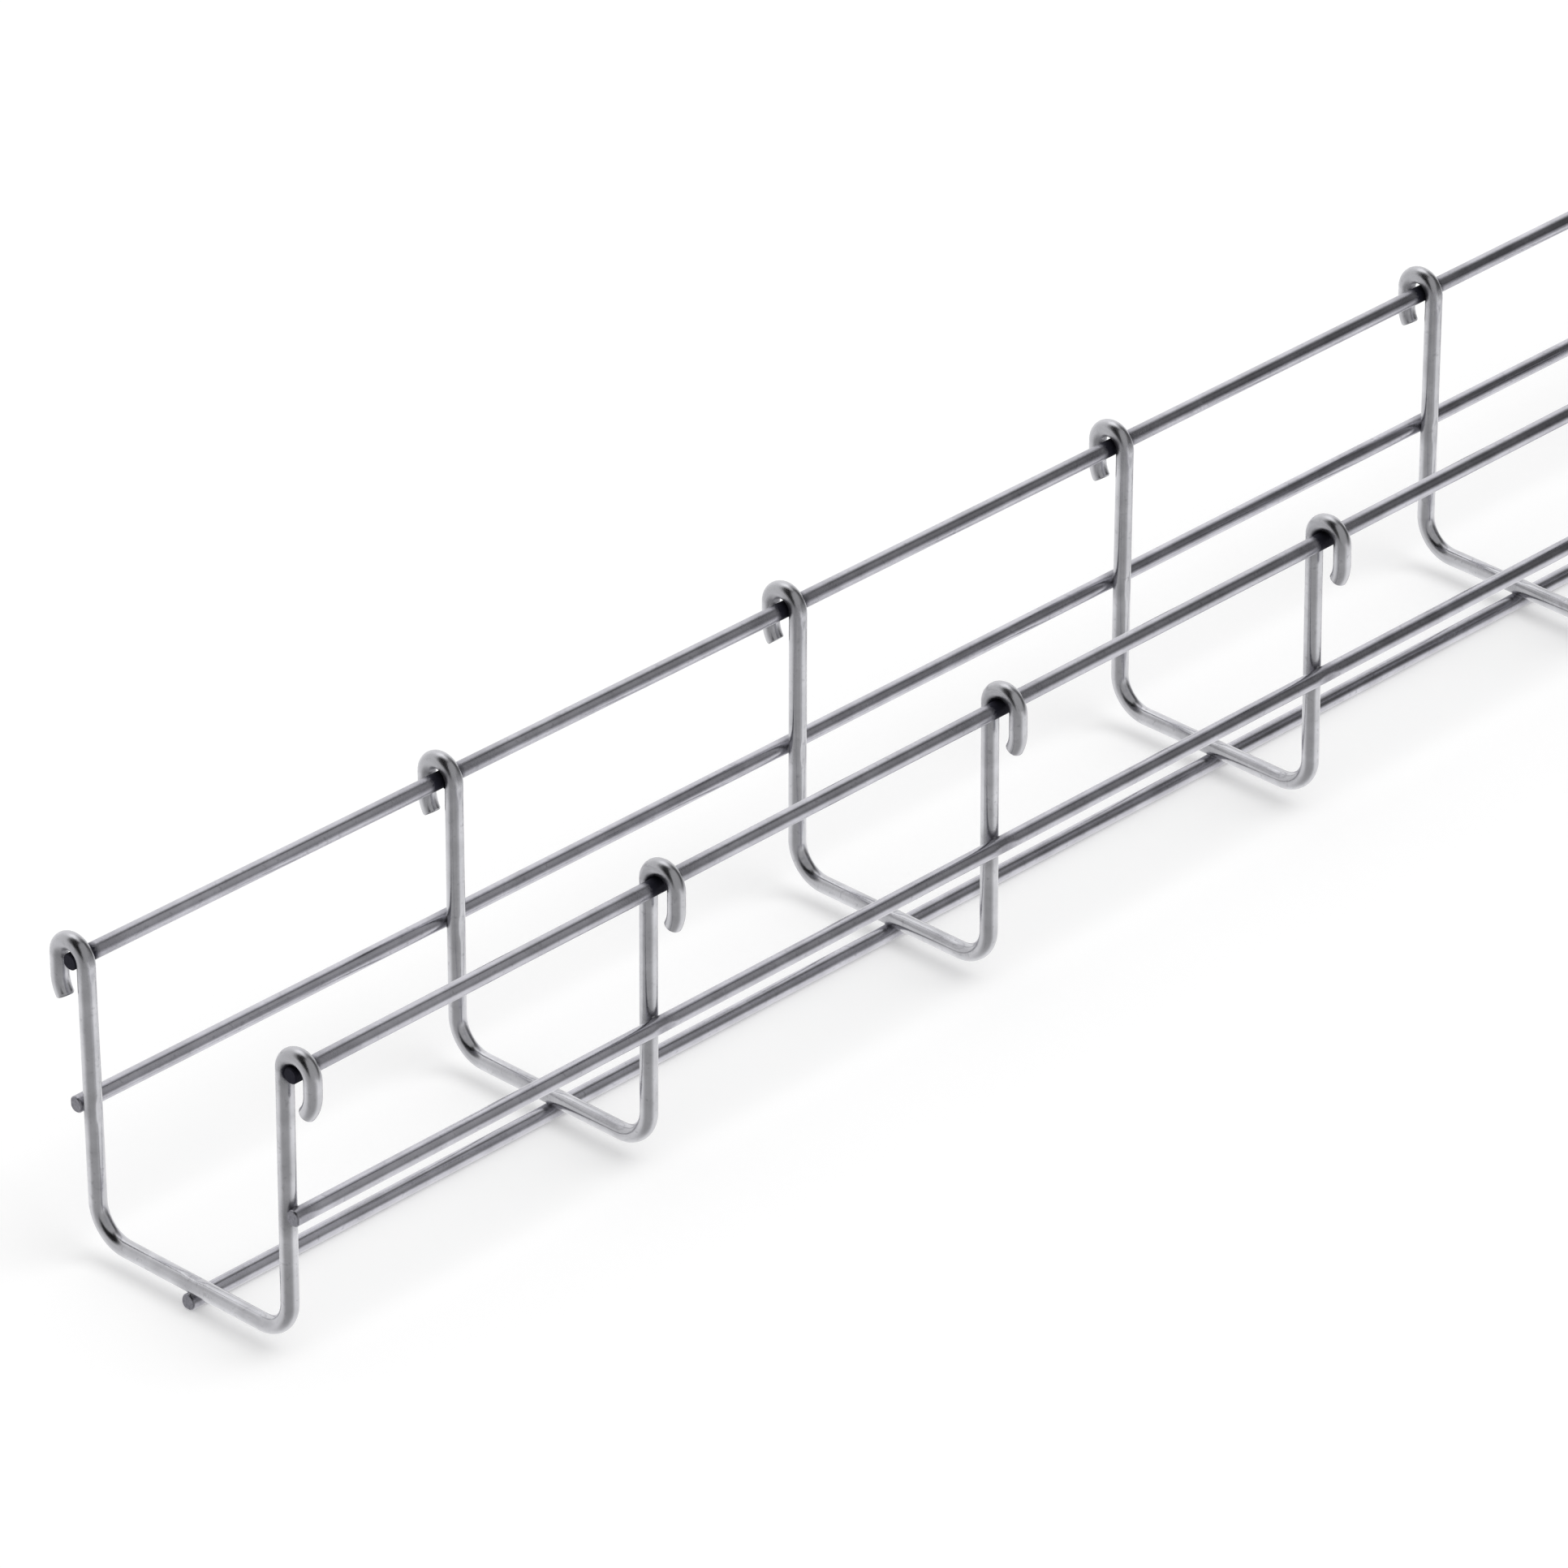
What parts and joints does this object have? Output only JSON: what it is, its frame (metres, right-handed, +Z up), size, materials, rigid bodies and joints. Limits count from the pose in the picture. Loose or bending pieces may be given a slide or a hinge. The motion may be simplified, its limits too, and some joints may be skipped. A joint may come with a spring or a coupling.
{
  "type": "wire mesh cable basket",
  "caption": "Straight length of U-shaped cable tray welded from round steel wire: bent ribs on long wires, each rib end hooked outward over its rim wire.",
  "frame": {"origin": "under the middle of the tray's length, at the underside of the bottom wire", "axes": "+X along the tray, away from the end with the rib close to it; +Z up, out of the open top; +Y to the left wall"},
  "size_m": [3, 0.0742, 0.0727],
  "materials": {
    "rib_wire": "bright zinc-plated drawn steel wire, slightly blue",
    "long_wire": "bright zinc-plated drawn steel wire, slightly blue"
  },
  "bodies": {
    "root": {"rib_1": "rib_wire", "rib_2": "rib_wire", "rib_3": "rib_wire", "rib_4": "rib_wire", "rib_5": "rib_wire", "rib_6": "rib_wire", "rib_7": "rib_wire", "rib_8": "rib_wire", "rib_9": "rib_wire", "rib_10": "rib_wire", "rib_11": "rib_wire", "rib_12": "rib_wire", "rib_13": "rib_wire", "rib_14": "rib_wire", "rib_15": "rib_wire", "rib_16": "rib_wire", "rib_17": "rib_wire", "rib_18": "rib_wire", "rib_19": "rib_wire", "rib_20": "rib_wire", "rib_21": "rib_wire", "rib_22": "rib_wire", "rib_23": "rib_wire", "rib_24": "rib_wire", "rib_25": "rib_wire", "rib_26": "rib_wire", "rib_27": "rib_wire", "rib_28": "rib_wire", "rib_29": "rib_wire", "rib_30": "rib_wire", "rim_wire_left": "long_wire", "rim_wire_right": "long_wire", "side_wire_left": "long_wire", "side_wire_right": "long_wire", "bottom_wire": "long_wire"}
  },
  "joints": []
}
